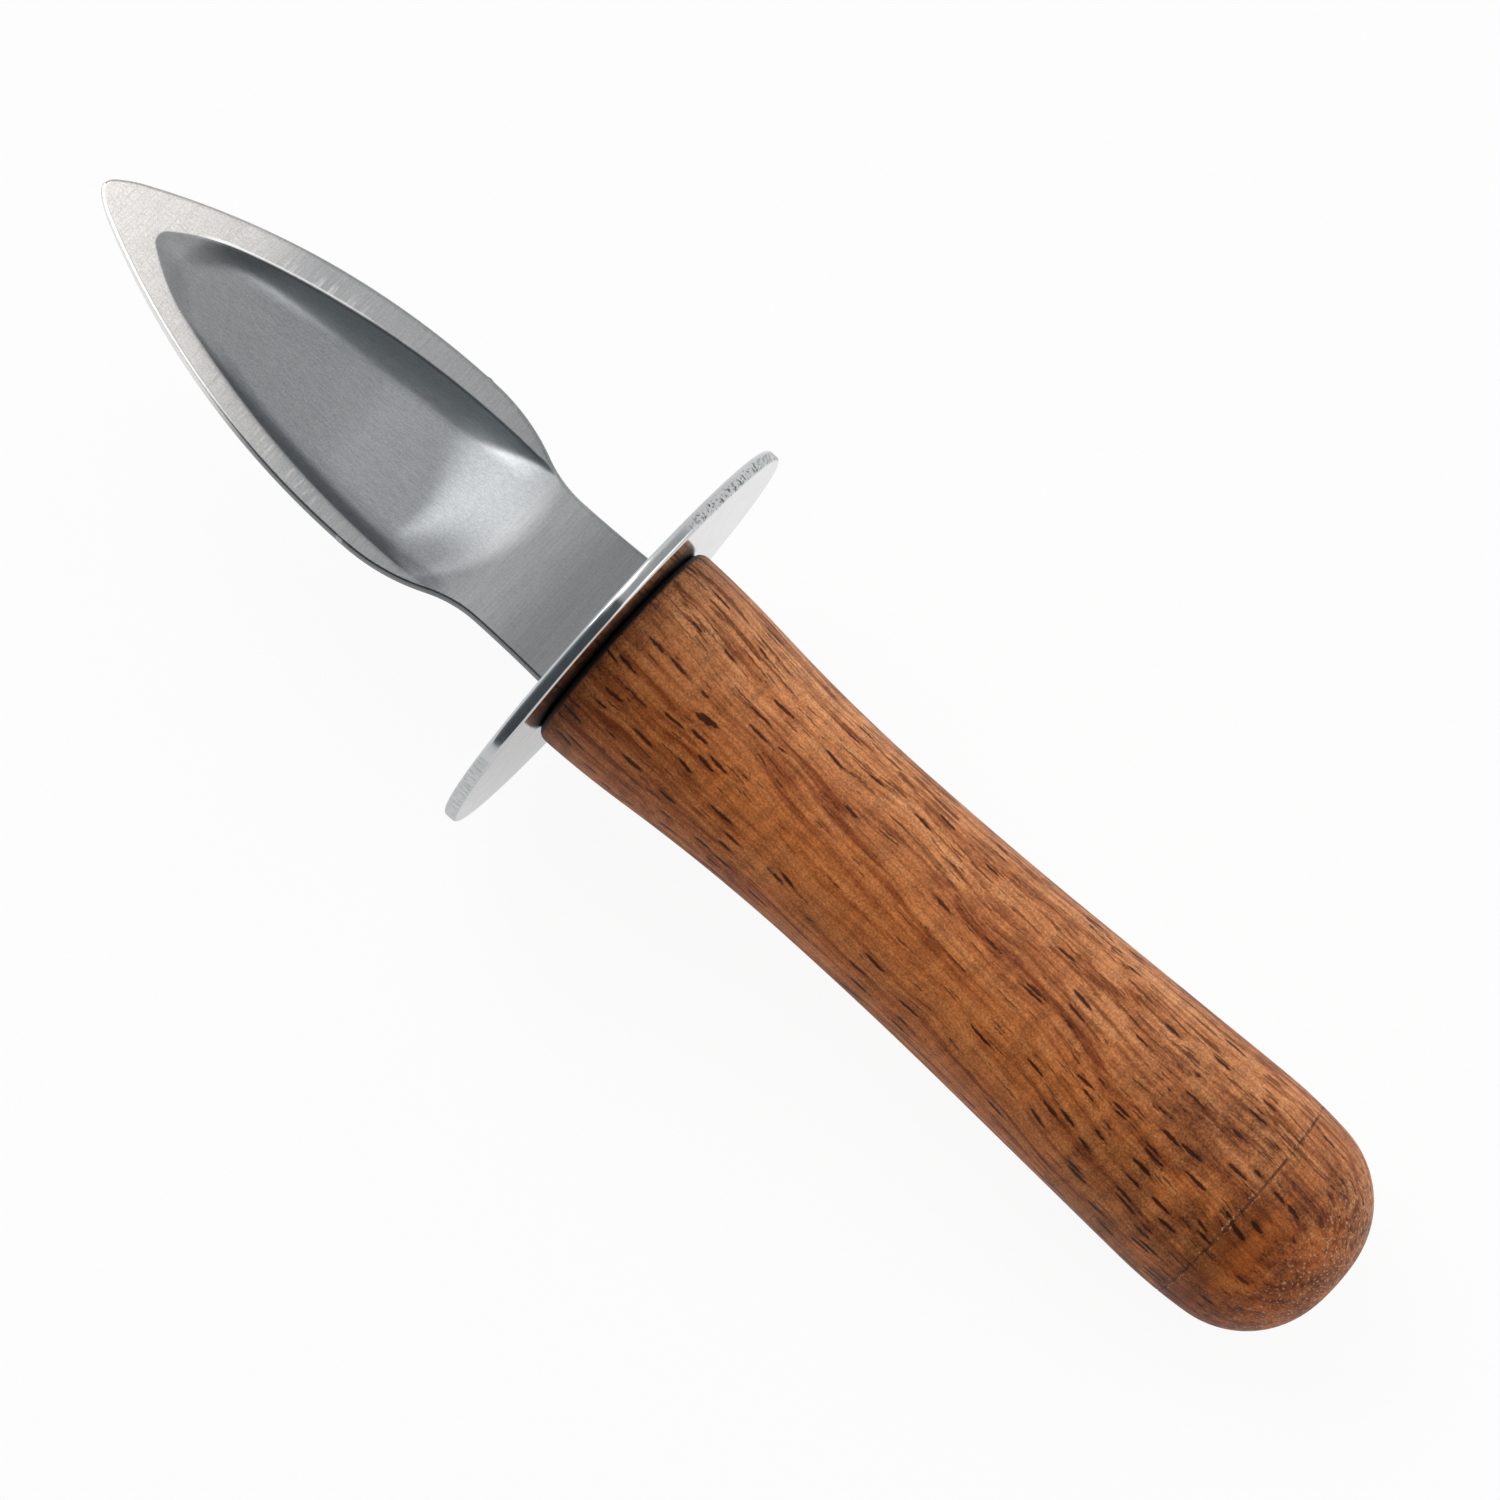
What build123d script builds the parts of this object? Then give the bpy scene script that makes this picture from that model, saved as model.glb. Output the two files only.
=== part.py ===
from build123d import *
import math
import os

# An oyster knife: a pressed steel blade, a round hand guard and a turned wooden handle.
# All sizes are millimetres. X runs along the knife, towards the tip. Y runs across the blade.
# Z points out of the hollow side of the blade. The origin is the centre of the guard.

# Blade, pressed from one sheet. Places along it are measured forwards from the front of the guard.
SHEET = 1.8
BLADE_HALF_WIDTH = 11.4
WIDEST_PLACE = 26.6
FLANK_RADIUS = 88.7
FLANK_TURN = 25.7
CHEEK_RADIUS = 12.4
CHEEK_TURN = 14.1
SHOULDER_RUN = 1.2
SHOULDER_RADIUS = 22.5
NECK_RADIUS = 13.5
SHOULDER_TURN = 24.5
NECK_FLARE_RADIUS = 165.0
EDGE_ROUND = 0.35

# Pressed hollow of the blade, which sits a little to the +Y side
HOLLOW_SHIFT = 0.45
HOLLOW_DEPTH = 2.6
NOSE_DEPTH = 0.7
HOLLOW_HALF_WIDTH = 9.15
HOLLOW_WIDEST_PLACE = 22.4
HOLLOW_FLANK_RADIUS = 102.6
HOLLOW_FLANK_TURN = 17.5
HOLLOW_CHEEK_RADIUS = 21.3
HOLLOW_CHEEK_TURN = 20.1
HOLLOW_HEEL_RADIUS = 12.0
HEEL_CORNER_PLACE = 17.7
HEEL_RAMP_PLACE = 24.1
FULL_DEPTH_PLACE = 36.0
WALL_SLANT = 30.0
FLOOR_ROUND = 1.6

# Tang, the strip of the same sheet inside the handle
TANG_WIDTH = 9.0
TANG_LENGTH = 50.0
TANG_TIP_CHAMFER = 1.5
KEY_NOTCH_RADIUS = 1.2
KEY_NOTCH_PLACES = (24.0, 38.0)

# Guard, a blanked and polished disc
GUARD_RADIUS = 24.4
GUARD_THICKNESS = 1.5
GUARD_EDGE_ROUND = 0.35
SLOT_CLEARANCE = 0.3

# Handle, turned from one piece. Its side is a chain of smooth stretches from the guard to the butt.
# Each has its run along the handle and its radius: above zero for a hollow arc, below zero for a
# swelling arc, and none for a straight cone.
HANDLE_LENGTH = 96.0
HANDLE_FRONT_RADIUS = 12.3
HANDLE_STRETCHES = [
    (11.5, -120.0),
    (20.5, 211.0),
    (22.0, 509.0),
    (24.0, None),
    (8.8, -57.0),
]
HANDLE_FRONT_ROUND = 1.2
SCRIBE_PLACE = 83.3
SCRIBE_RADIUS = 12.1
SCRIBE_WIDTH = 0.4

# Bore of the handle, filled with resin round the tang
BORE_RADIUS = 5.0
BORE_DEPTH = 56.0

# Places worked out from the sizes above
GUARD_FRONT_X = GUARD_THICKNESS / 2
GUARD_BACK_X = -GUARD_THICKNESS / 2
TANG_END_X = GUARD_BACK_X - TANG_LENGTH


def pointed_end(widest, flank_radius, flank_turn, cheek_radius, cheek_turn):
    """Draw flank, cheek and end arcs from the widest point to the centreline, and return where they end."""
    flank = JernArc(widest, (1, 0), flank_radius, -flank_turn)
    cheek = JernArc(flank @ 1, flank % 1, cheek_radius, -cheek_turn)
    turned = flank_turn + cheek_turn
    end_radius = (cheek @ 1).Y / math.cos(math.radians(turned))
    end = JernArc(cheek @ 1, cheek % 1, end_radius, turned - 90)
    return end @ 1


def blade_outline():
    """Half of the blade's outline with its tang, drawn on +Y and mirrored about the centreline."""
    with BuildSketch() as sketch:
        with BuildLine():
            widest = Vector(GUARD_FRONT_X + WIDEST_PLACE, BLADE_HALF_WIDTH)
            tip = pointed_end(widest, FLANK_RADIUS, FLANK_TURN, CHEEK_RADIUS, CHEEK_TURN)
            straight = Line(widest, widest - Vector(SHOULDER_RUN, 0))
            shoulder = JernArc(straight @ 1, (-1, 0), SHOULDER_RADIUS, SHOULDER_TURN)
            neck = JernArc(shoulder @ 1, shoulder % 1, NECK_RADIUS, -SHOULDER_TURN)
            flare_length = (neck @ 1).X - GUARD_FRONT_X
            flare_turn = math.degrees(math.asin(flare_length / NECK_FLARE_RADIUS))
            flare = JernArc(neck @ 1, neck % 1, NECK_FLARE_RADIUS, -flare_turn)
            Polyline(
                flare @ 1,
                (GUARD_FRONT_X, TANG_WIDTH / 2),
                (TANG_END_X + TANG_TIP_CHAMFER, TANG_WIDTH / 2),
                (TANG_END_X, TANG_WIDTH / 2 - TANG_TIP_CHAMFER),
                (TANG_END_X, 0),
                tip,
            )
        make_face()
        mirror(about=Plane.XZ)
    return sketch.sketch


def hollow_outline():
    """Crease line of the hollow: a spear head with a rounded nose and a bowed heel."""
    widest = Vector(GUARD_FRONT_X + HOLLOW_WIDEST_PLACE, HOLLOW_HALF_WIDTH)
    back_run = HOLLOW_WIDEST_PLACE - HEEL_CORNER_PLACE
    back_turn = math.degrees(math.asin(back_run / HOLLOW_FLANK_RADIUS))
    with BuildSketch() as sketch:
        with BuildLine():
            nose = pointed_end(
                widest, HOLLOW_FLANK_RADIUS, HOLLOW_FLANK_TURN, HOLLOW_CHEEK_RADIUS, HOLLOW_CHEEK_TURN
            )
            back = JernArc(widest, (-1, 0), HOLLOW_FLANK_RADIUS, back_turn)
            corner = back @ 1
            heel_bow = HOLLOW_HEEL_RADIUS - math.sqrt(HOLLOW_HEEL_RADIUS**2 - corner.Y**2)
            heel_end = Vector(corner.X - heel_bow, 0)
            RadiusArc(corner, heel_end, -HOLLOW_HEEL_RADIUS)
            Line(heel_end, nose)
        make_face()
        mirror(about=Plane.XZ)
    return Pos(0, HOLLOW_SHIFT) * sketch.sketch


def hollow_body():
    """Solid that fills the hollow: slanted walls and a floor, deepest between its nose and its heel."""
    top = Pos(0, 0, SHEET / 2) * hollow_outline()
    walls = extrude(top, amount=-HOLLOW_DEPTH, taper=WALL_SLANT)
    nose_x = walls.bounding_box().max.X
    floor_z = SHEET / 2 - HOLLOW_DEPTH
    with BuildSketch(Plane.XZ) as side:
        with BuildLine():
            Polyline(
                (walls.bounding_box().min.X, SHEET / 2),
                (GUARD_FRONT_X + HEEL_RAMP_PLACE, floor_z),
                (GUARD_FRONT_X + FULL_DEPTH_PLACE, floor_z),
                (nose_x, SHEET / 2 - NOSE_DEPTH),
                (nose_x, SHEET / 2),
                close=True,
            )
        make_face()
    body = walls & extrude(side.sketch, amount=2 * BLADE_HALF_WIDTH, both=True)
    return fillet(body.faces().sort_by(Axis.Z)[0].edges(), FLOOR_ROUND)


def make_blade():
    """Blade, neck and tang in one pressing, with the hollow pushed through to the back as a bulge."""
    plate = extrude(blade_outline(), amount=SHEET / 2, both=True)
    plate = fillet(plate.edges().filter_by(GeomType.CIRCLE), EDGE_ROUND)
    for place in KEY_NOTCH_PLACES:
        for side in (1, -1):
            centre = Pos(GUARD_BACK_X - place, side * TANG_WIDTH / 2)
            plate -= centre * Cylinder(KEY_NOTCH_RADIUS, 2 * SHEET)
    hollow = hollow_body()
    bulge = Pos(0, 0, -SHEET) * hollow
    return plate + bulge - hollow


def make_guard():
    """Flat disc with eased edges and a slot for the tang."""
    disc = Plane.YZ * Cylinder(GUARD_RADIUS, GUARD_THICKNESS)
    disc = fillet(disc.edges(), GUARD_EDGE_ROUND)
    slot = Box(2 * GUARD_THICKNESS, TANG_WIDTH + SLOT_CLEARANCE, SHEET + SLOT_CLEARANCE)
    return disc - slot


def bore_body():
    """Solid that fills the blind bore of the handle."""
    return Plane.YZ.offset(GUARD_BACK_X - BORE_DEPTH / 2) * Cylinder(BORE_RADIUS, BORE_DEPTH)


def stretch_of_side(start, heading, run, radius):
    """One stretch of the handle's side. The heading is a direction that points towards the butt."""
    if radius is None:
        return Line(start, start + heading * (run / -heading.X))
    end_slope = heading.Y + run / radius
    turn = math.degrees(math.asin(end_slope) - math.asin(heading.Y))
    return JernArc(start, heading, abs(radius), -turn)


def handle_outline():
    """Half section of the handle, from the guard along the side and round the butt."""
    butt_x = GUARD_BACK_X - HANDLE_LENGTH
    with BuildSketch() as half:
        with BuildLine():
            front = Vector(GUARD_BACK_X, HANDLE_FRONT_RADIUS)
            end = front
            heading = Vector(-1, 0)
            for run, radius in HANDLE_STRETCHES:
                stretch = stretch_of_side(end, heading, run, radius)
                end = stretch @ 1
                heading = stretch % 1
            butt_radius = (end.X - butt_x) / (1 + heading.Y)
            butt_turn = 90 + math.degrees(math.asin(heading.Y))
            butt = JernArc(end, heading, butt_radius, butt_turn)
            Polyline(butt @ 1, (butt_x, 0), (GUARD_BACK_X, 0), front)
        make_face()
    return half.sketch


def make_handle():
    """Turned handle with a rounded butt, a scribed line and the blind bore."""
    handle = revolve(handle_outline(), Axis.X)
    front_edge = handle.edges().group_by(Axis.X)[-1]
    handle = fillet(front_edge, HANDLE_FRONT_ROUND)
    scribe_x = GUARD_BACK_X - SCRIBE_PLACE
    ring = Cylinder(2 * SCRIBE_RADIUS, SCRIBE_WIDTH) - Cylinder(SCRIBE_RADIUS, SCRIBE_WIDTH)
    return handle - Plane.YZ.offset(scribe_x) * ring - bore_body()


blade = make_blade()
guard = make_guard()
handle = make_handle()
tang_resin = bore_body() - blade

os.makedirs("parts", exist_ok=True)
for name, shape in {
    "blade": blade,
    "guard": guard,
    "handle": handle,
    "tang_resin": tang_resin,
}.items():
    export_step(shape, f"parts/{name}.step")
    box = shape.bounding_box()
    print(name, "solids", len(shape.solids()), "volume", round(shape.volume, 1), "size", box.size)
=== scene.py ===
# %% [markdown]
# # An oyster knife: one steel pressing, a polished disc and a turned handle
# The knife is short and blunt. Its blade is pressed from one sheet, with a spear shaped hollow, and goes
# on as a tang inside the handle. A round disc keeps the hand off the shell. The handle is turned from an
# open pored hardwood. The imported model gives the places, and this file gives each piece its surface.

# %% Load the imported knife
import bisect
import math

import bmesh
import bpy
from mathutils import Matrix, Quaternion, Vector
from mathutils.kdtree import KDTree


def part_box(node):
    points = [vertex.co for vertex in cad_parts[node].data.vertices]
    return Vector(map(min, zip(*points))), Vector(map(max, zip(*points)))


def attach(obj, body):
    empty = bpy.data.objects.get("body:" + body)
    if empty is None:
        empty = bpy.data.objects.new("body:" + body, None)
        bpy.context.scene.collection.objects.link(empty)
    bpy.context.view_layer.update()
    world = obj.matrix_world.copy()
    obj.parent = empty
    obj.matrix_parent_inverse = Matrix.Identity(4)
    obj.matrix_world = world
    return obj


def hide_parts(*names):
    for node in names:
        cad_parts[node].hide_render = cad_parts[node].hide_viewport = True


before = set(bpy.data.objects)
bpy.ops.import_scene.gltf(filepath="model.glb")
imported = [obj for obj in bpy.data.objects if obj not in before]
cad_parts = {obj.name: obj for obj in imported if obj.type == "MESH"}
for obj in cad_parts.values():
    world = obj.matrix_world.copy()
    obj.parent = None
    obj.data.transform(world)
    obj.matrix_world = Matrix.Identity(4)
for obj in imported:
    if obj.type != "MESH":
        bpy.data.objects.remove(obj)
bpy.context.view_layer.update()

MM = 0.001
scene = bpy.context.scene
print("nodes:", sorted(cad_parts))

# %% [markdown]
# ## Camera
# A camera is easiest to place by what it does: where it stands, what it looks at and how the subject
# lies in the picture. A photographer took this knife from above with a long lens, a little from the
# lower side, with the tip up at the left. A long lens keeps the round disc and the handle undistorted.

# %% Place the camera
CAMERA_PLACE = Vector((-38.36, 128.92, 498.50)) * MM
CAMERA_AIM = Vector((-17.89, -0.74, 0.0)) * MM
KNIFE_ANGLE = math.radians(138.2)
LENS_MM = 123.46


def picture_axes(place, aim, angle):
    """Right, up and back of a camera in whose picture the knife's +X points at the given angle."""
    back = (place - aim).normalized()
    along = Vector((1, 0, 0)) - back * back.x
    right = Quaternion(back, -angle) @ along.normalized()
    return right, back.cross(right), back


right, up, back = picture_axes(CAMERA_PLACE, CAMERA_AIM, KNIFE_ANGLE)
lens = bpy.data.cameras.new("camera")
lens.lens = LENS_MM
lens.sensor_width = 36
lens.clip_start = 0.01
camera = bpy.data.objects.new("camera", lens)
camera.matrix_world = Matrix.Translation(CAMERA_PLACE) @ Matrix((right, up, back)).transposed().to_4x4()
scene.collection.objects.link(camera)
scene.camera = camera
print("camera distance, mm:", round((CAMERA_PLACE - CAMERA_AIM).length / MM))

# %% [markdown]
# ## Two small helpers for meshes
# Every piece is built in a bmesh and handed over once. The object stays at the origin, so that Object
# coordinates in the materials are plain millimetres on the knife once they are scaled.

# %% Hand a finished bmesh over to the scene
SHARP_ANGLE = math.radians(40)


def object_from(shape, name):
    """Turn a bmesh in metres into an object of the scene."""
    mesh = bpy.data.meshes.new(name)
    shape.to_mesh(mesh)
    shape.free()
    made = bpy.data.objects.new(name, mesh)
    scene.collection.objects.link(made)
    print(name, "faces:", len(mesh.polygons))
    return made


def piece_from(shape, name, stands_for):
    """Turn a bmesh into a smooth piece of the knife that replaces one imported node."""
    piece = object_from(shape, name)
    piece.data.shade_smooth()
    piece.data.set_sharp_from_angle(angle=SHARP_ANGLE)
    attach(piece, "root")
    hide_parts(stands_for)
    return piece


# %% [markdown]
# ## Outlines of touching arcs
# Sheet metal dies and turning templates are drawn as arcs that touch. Walking along such a chain in
# small steps gives points, and the width of the blade at any place can be read from them.

# %% Walk along a chain of arcs
STEP = 0.04
FEWEST_STEPS = 6


def walk(start, heading, arcs):
    """Points along arcs that touch. An arc is its radius and its turn in degrees, or None and a run."""
    points = [Vector(start)]
    angle = math.radians(heading)
    for radius, turn in arcs:
        if radius is None:
            points.append(points[-1] + turn * Vector((math.cos(angle), math.sin(angle))))
            continue
        steps = max(FEWEST_STEPS, math.ceil(radius * abs(math.radians(turn)) / STEP))
        part = math.radians(turn) / steps
        chord = 2 * radius * math.sin(abs(part) / 2)
        for _ in range(steps):
            angle += part / 2
            points.append(points[-1] + chord * Vector((math.cos(angle), math.sin(angle))))
            angle += part / 2
    return points


def walk_to_point(widest, arcs):
    """Walk from the widest place to the middle line. One more arc ends the chain square to that line."""
    turned = -sum(turn for _, turn in arcs)
    radius = walk(widest, 0, arcs)[-1].y / math.cos(math.radians(turned))
    print("radius at the point:", round(radius, 2))
    return walk(widest, 0, arcs + [(radius, turned - 90)])


print("a quarter turn of 10 mm ends at", walk((0, 0), 0, [(10.0, 90.0)])[-1])

# %% Read widths and distances from the points
NEAR = 10 * STEP
ON_MIDDLE_LINE = 0.001


def width_table(forward, rearward):
    """Join the two chains that leave the widest point into one list, in order of x."""
    points = rearward[::-1] + forward[1:]
    return [p.x for p in points], [p.y for p in points]


def points_tree(table, shift=0.0):
    """A search tree of the outline's points on both sides of the middle line."""
    tree = KDTree(2 * len(table[0]))
    for x, y in zip(*table):
        tree.insert((x, shift + y, 0), 0)
        if y > ON_MIDDLE_LINE:
            tree.insert((x, shift - y, 0), 0)
    tree.balance()
    return tree


def distance_to(tree, x, y):
    """Distance to the outline: near it, to the line through its two nearest points."""
    (first, _, far), (second, _, _) = tree.find_n((x, y, 0), 2)
    if far > NEAR:
        return far
    along = (second - first).normalized()
    offset = Vector((x, y, 0)) - first
    return (offset - along * offset.dot(along)).length


def width_at(table, x):
    """Half width at x, read between two points. It is zero beyond the end."""
    places, widths = table
    if x >= places[-1]:
        return 0.0
    k = max(1, bisect.bisect_left(places, x))
    share = (x - places[k - 1]) / (places[k] - places[k - 1])
    return max(0.0, widths[k - 1] + share * (widths[k] - widths[k - 1]))


print("a plain taper, half way:", width_at(([0.0, 10.0], [4.0, 0.0]), 5.0))

# %% [markdown]
# ## Sizes of the blade
# These are millimetres. The outline runs from the widest point forwards to the tip and back to the
# neck. The crease is the line where the flat rim breaks into the pressed hollow, and it sits a little
# to one side, as it does on the real knife.

# %% Outline of the blade and crease of its hollow
guard_low, guard_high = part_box("guard")
blade_low, blade_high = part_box("blade")
GUARD_FRONT = guard_high.x / MM
GUARD_BACK = guard_low.x / MM
TIP = blade_high.x / MM
TANG_END = blade_low.x / MM
SHEET = 1.8
TOP = SHEET / 2

WIDEST = Vector((GUARD_FRONT + 26.6, 11.4))
FLANK_AND_CHEEK = [(88.7, -25.7), (12.4, -14.1)]
SHOULDER_AND_NECK = [(None, 1.2), (22.5, 24.5), (13.5, -24.5), (165.0, -3.7)]
outline = width_table(walk_to_point(WIDEST, FLANK_AND_CHEEK), walk(WIDEST, 180, SHOULDER_AND_NECK))

HOLLOW_SHIFT = 0.45
HOLLOW_WIDEST = Vector((GUARD_FRONT + 22.4, 9.15))
HOLLOW_FORWARD = [(102.6, -17.5), (21.3, -20.1)]
HOLLOW_REARWARD = [(102.6, 13.0)]
crease = width_table(
    walk_to_point(HOLLOW_WIDEST, HOLLOW_FORWARD), walk(HOLLOW_WIDEST, 180, HOLLOW_REARWARD)
)
NOSE = crease[0][-1]
print("tip at", round(TIP, 2), "nose of the hollow at", round(NOSE, 2))

# %% [markdown]
# ## The press
# A press tool pushes the sheet down inside the crease. Its wall is steep and runs into a nearly flat
# floor. The floor is shallow at the nose, sinks to full depth and climbs back to the neck. One function
# gives the depth at any place, so the mesh can be as fine as it likes without changing the shape.

# %% Soft rises and round corners
def rise(value, start, full):
    """An S-shaped rise from 0 at the start to 1 where it is full."""
    share = min(1.0, max(0.0, (value - start) / (full - start)))
    return share * share * (3 - 2 * share)


def smooth_least(a, b, blend):
    """The smaller of two values, rounded over where they meet."""
    share = min(1.0, max(0.0, 0.5 + (b - a) / (2 * blend)))
    return b + (a - b) * share - blend * share * (1 - share)


print("a rise after a quarter:", rise(0.25, 0, 1), "equal values, rounded:", smooth_least(1, 1, 1.6))

# %% How deep the floor lies
HOLLOW_DEPTH = 2.6
# The floor starts to sink this far behind the nose: at once above the middle line, later below it.
NOSE_DEPTH = 0.12
SINK_STARTS = (1.8, 7.0)
SINK_STARTS_ROWS = (-1.0, 5.0)
SINK_SOFT = 4.0
SINK_CURVE = 1.5
FULL_DEPTH_X = GUARD_FRONT + 32.0
# The heel is a bowed slope that is longest on the upper side.
HEEL_X = GUARD_FRONT + 12.0
HEEL_RUN = 13.6
HEEL_RUN_LESS = 6.4
HEEL_RUN_ROWS = (-7.0, 9.0)
HEEL_RADIUS = 13.5
HEEL_CENTRE = -3.0


def floor_depth(x, y):
    """How deep the floor lies at this place, before the walls cut it short."""
    soonest, latest = SINK_STARTS
    start = NOSE - soonest - (latest - soonest) * rise(y, *SINK_STARTS_ROWS)
    back = (start - x + math.hypot(start - x, SINK_SOFT)) / 2
    share = min(1.0, back / (start - FULL_DEPTH_X))
    depth = NOSE_DEPTH + (HOLLOW_DEPTH - NOSE_DEPTH) * (1 - (1 - share) ** SINK_CURVE)
    heel = HEEL_X + (y - HEEL_CENTRE) ** 2 / (2 * HEEL_RADIUS)
    run = HEEL_RUN - HEEL_RUN_LESS * rise(y, *HEEL_RUN_ROWS)
    return depth * rise(x, heel, heel + run)


print("deepest floor:", round(floor_depth(FULL_DEPTH_X, HOLLOW_SHIFT), 2))

# %% Where the walls cut the floor short
# The wall is gentle at the nose and reaches its full slope a little way behind it.
WALL_SLOPE = math.tan(math.radians(52))
NOSE_SLOPE_SHARE = 0.12
WALL_STEEPENS = (3.0, 11.5)
CREASE_ROUND = 0.12
# The rim is flat from this distance outside the crease.
FLAT_RIM = 1.0
# The floor is dished a little, and the wall runs into it with a round foot.
FLOOR_DISH = 0.12
LEAST_HALF = 0.5
FLOOR_BLEND = 1.6
BLEND_SHARE = 0.75
LEAST_BLEND = 0.02

crease_tree = points_tree(crease, HOLLOW_SHIFT)
outline_tree = points_tree(outline)


def inside_crease(x, y):
    """Distance to the crease, in mm: above zero inside the hollow, below zero on the rim."""
    distance = distance_to(crease_tree, x, y)
    return distance if abs(y - HOLLOW_SHIFT) < width_at(crease, x) else -distance


def press_depth(x, y):
    """Depth of the sheet's top below its flat plane."""
    inside = inside_crease(x, y)
    if inside < -FLAT_RIM or x < HEEL_X:
        return 0.0
    steep = NOSE_SLOPE_SHARE + (1 - NOSE_SLOPE_SHARE) * rise(NOSE - x, *WALL_STEEPENS)
    wall = steep * WALL_SLOPE * (inside + math.hypot(inside, CREASE_ROUND)) / 2
    floor = floor_depth(x, y)
    half = max(LEAST_HALF, width_at(crease, x))
    floor *= 1 - FLOOR_DISH * ((y - HOLLOW_SHIFT) / half) ** 2
    blend = min(FLOOR_BLEND, BLEND_SHARE * floor + LEAST_BLEND)
    return max(0.0, smooth_least(wall, floor, blend))


for place in (NOSE - 5, FULL_DEPTH_X, HOLLOW_WIDEST.x, HEEL_X + 6):
    print("depth at x", round(place, 1), "is", round(press_depth(place, HOLLOW_SHIFT), 2))

# %% [markdown]
# ## Blade
# A grid is the natural start for a sheet. Its columns become stations along the blade and its rows
# follow the outline and the crease, so the crease stays crisp. Behind the disc only the inner rows go
# on, as the narrow tang. The sheet then gets its thickness by one extrusion straight down.

# %% Stations along the blade
# They are close together at the tip and at the nose, where the outlines turn most.
TIP_STATIONS = 28
NOSE_STATIONS = 26
NOSE_STRETCH = 9.0
BLADE_STEP = 0.5
TANG_STEP = 0.25

tip_to_nose = TIP - NOSE
stations = [TIP - tip_to_nose * (k / TIP_STATIONS) ** 2 for k in range(TIP_STATIONS + 1)]
stations += [NOSE - NOSE_STRETCH * (k / NOSE_STATIONS) ** 2 for k in range(1, NOSE_STATIONS + 1)]
for end, step in ((GUARD_FRONT, BLADE_STEP), (TANG_END, TANG_STEP)):
    front_station = len(stations) - 1
    start = stations[-1]
    steps = round((start - end) / step)
    stations += [start + (end - start) * k / steps for k in range(1, steps + 1)]
print("stations:", len(stations))

# %% Rows across the blade
# They follow the floor, the wall, the rim beside the crease, the flat rim and the eased edge.
EDGE_ROUND = 0.35
FLOOR_SHARES = [k / 9 for k in range(10)]
WALL_INSETS = [3.6, 3.0, 2.6, 2.3, 2.0, 1.7, 1.4, 1.1, 0.85, 0.6, 0.4, 0.25, 0.13, 0.05]
RIM_OFFSETS = [0.0, 0.06, 0.14, 0.25]
EDGE_INSETS = [0.62, EDGE_ROUND, 0.25, 0.16, 0.08, 0.03, 0.0]
RIM_PARTS = 4
SHIFT_RUN = 8.0
LEAST_RIM = 1.0
LEAST_FLOOR = 2.0
LEAST_FLAT = 0.4
LEAST_GAP = 0.02
TANG_HALF = 4.5


def row_places(x, side):
    """Distances from the middle line to each row on one side of the blade, from the middle outwards."""
    fade = min(1.0, (TIP - x) / tip_to_nose)
    middle = HOLLOW_SHIFT * rise(x, GUARD_FRONT, GUARD_FRONT + SHIFT_RUN) * fade
    reach = abs(side * width_at(outline, x) - middle)
    line = min(width_at(crease, x), max(0.0, reach - LEAST_RIM))
    room = max(0.0, reach - line)
    squeeze = min(1.0, line / (WALL_INSETS[0] + LEAST_FLOOR))
    floor = max(0.0, line - WALL_INSETS[0] * squeeze)
    floor += (TANG_HALF - floor) * rise(x, HEEL_X, GUARD_FRONT)
    rows = [floor * share for share in FLOOR_SHARES]
    for k, inset in enumerate(WALL_INSETS[1:], 1):
        rows.append(max(floor + LEAST_GAP * k * squeeze, line - inset * squeeze))
    narrow = min(1.0, room / (RIM_OFFSETS[-1] + EDGE_INSETS[0] + LEAST_FLAT))
    rows += [line + offset * narrow for offset in RIM_OFFSETS]
    first = line + RIM_OFFSETS[-1] * narrow
    last = reach - EDGE_INSETS[0] * narrow
    rows += [first + (last - first) * k / RIM_PARTS for k in range(1, RIM_PARTS)]
    rows += [reach - inset * narrow for inset in EDGE_INSETS]
    return middle, rows


rows_each_side = len(row_places(HOLLOW_WIDEST.x, 1)[1]) - 1
print("rows:", 2 * rows_each_side + 1)

# %% Width of the tang
TANG_CHAMFER = 1.5
NOTCH_RADIUS = 1.2
NOTCH_PLACES = (24.0, 38.0)


def tang_half(x):
    """Half width of the tang, with its two pairs of round notches and its cut corners."""
    half = min(TANG_HALF, TANG_HALF - TANG_CHAMFER + (x - TANG_END))
    for place in NOTCH_PLACES:
        reach = NOTCH_RADIUS**2 - (x - (GUARD_BACK - place)) ** 2
        half -= math.sqrt(max(0.0, reach))
    return half


print("half width of the tang in a notch:", tang_half(GUARD_BACK - NOTCH_PLACES[0]))

# %% Eased edge, honed facet and ground tip
# The +Y edge is eased less, and least near the tip, where it was honed.
EDGE_ROUND_BELOW = 0.2
EDGE_ROUND_HONED = 0.07
HONED_EASE_RUN = (36.0, 48.0)
HONED_RUN = (36.0, 50.0)
HONED_WIDTH = 0.32
HONED_SLOPE = math.tan(math.radians(7))
THIN_START = 25.0
THIN_SLOPE = math.tan(math.radians(3.6))


def edge_drop(x, y):
    """How far the eased edge falls below the face, from the distance to the outline."""
    inset = distance_to(outline_tree, x, y)
    honed_ease = (EDGE_ROUND_BELOW - EDGE_ROUND_HONED) * rise(x, *HONED_EASE_RUN)
    ease = EDGE_ROUND if y < 0 else EDGE_ROUND_BELOW - honed_ease
    if inset >= ease:
        return 0.0
    return ease - math.sqrt(ease**2 - (ease - inset) ** 2)


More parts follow.
